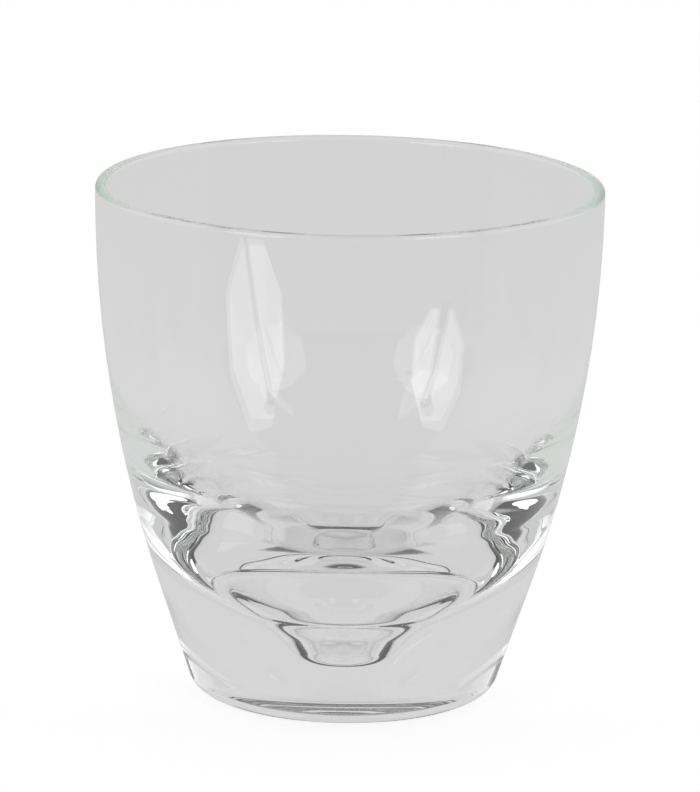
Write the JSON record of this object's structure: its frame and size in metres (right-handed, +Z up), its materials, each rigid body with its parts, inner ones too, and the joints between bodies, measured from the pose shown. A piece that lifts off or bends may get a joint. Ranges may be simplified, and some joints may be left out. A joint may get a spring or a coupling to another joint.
{
  "type": "rocks glass",
  "caption": "Tapered clear rocks glass with a thin rounded rim and a heavy solid base whose funnel-shaped floor sinks into a small round dip.",
  "frame": {"origin": "centre of the flat underside, on the table", "axes": "+Z up along the axis of revolution; X and Y are free, because the glass is round"},
  "size_m": [0.088, 0.088, 0.09],
  "materials": {
    "clear_glass": "clear, fire-polished"
  },
  "bodies": {
    "root": {"base": "clear_glass", "bowl": "clear_glass"}
  },
  "joints": []
}
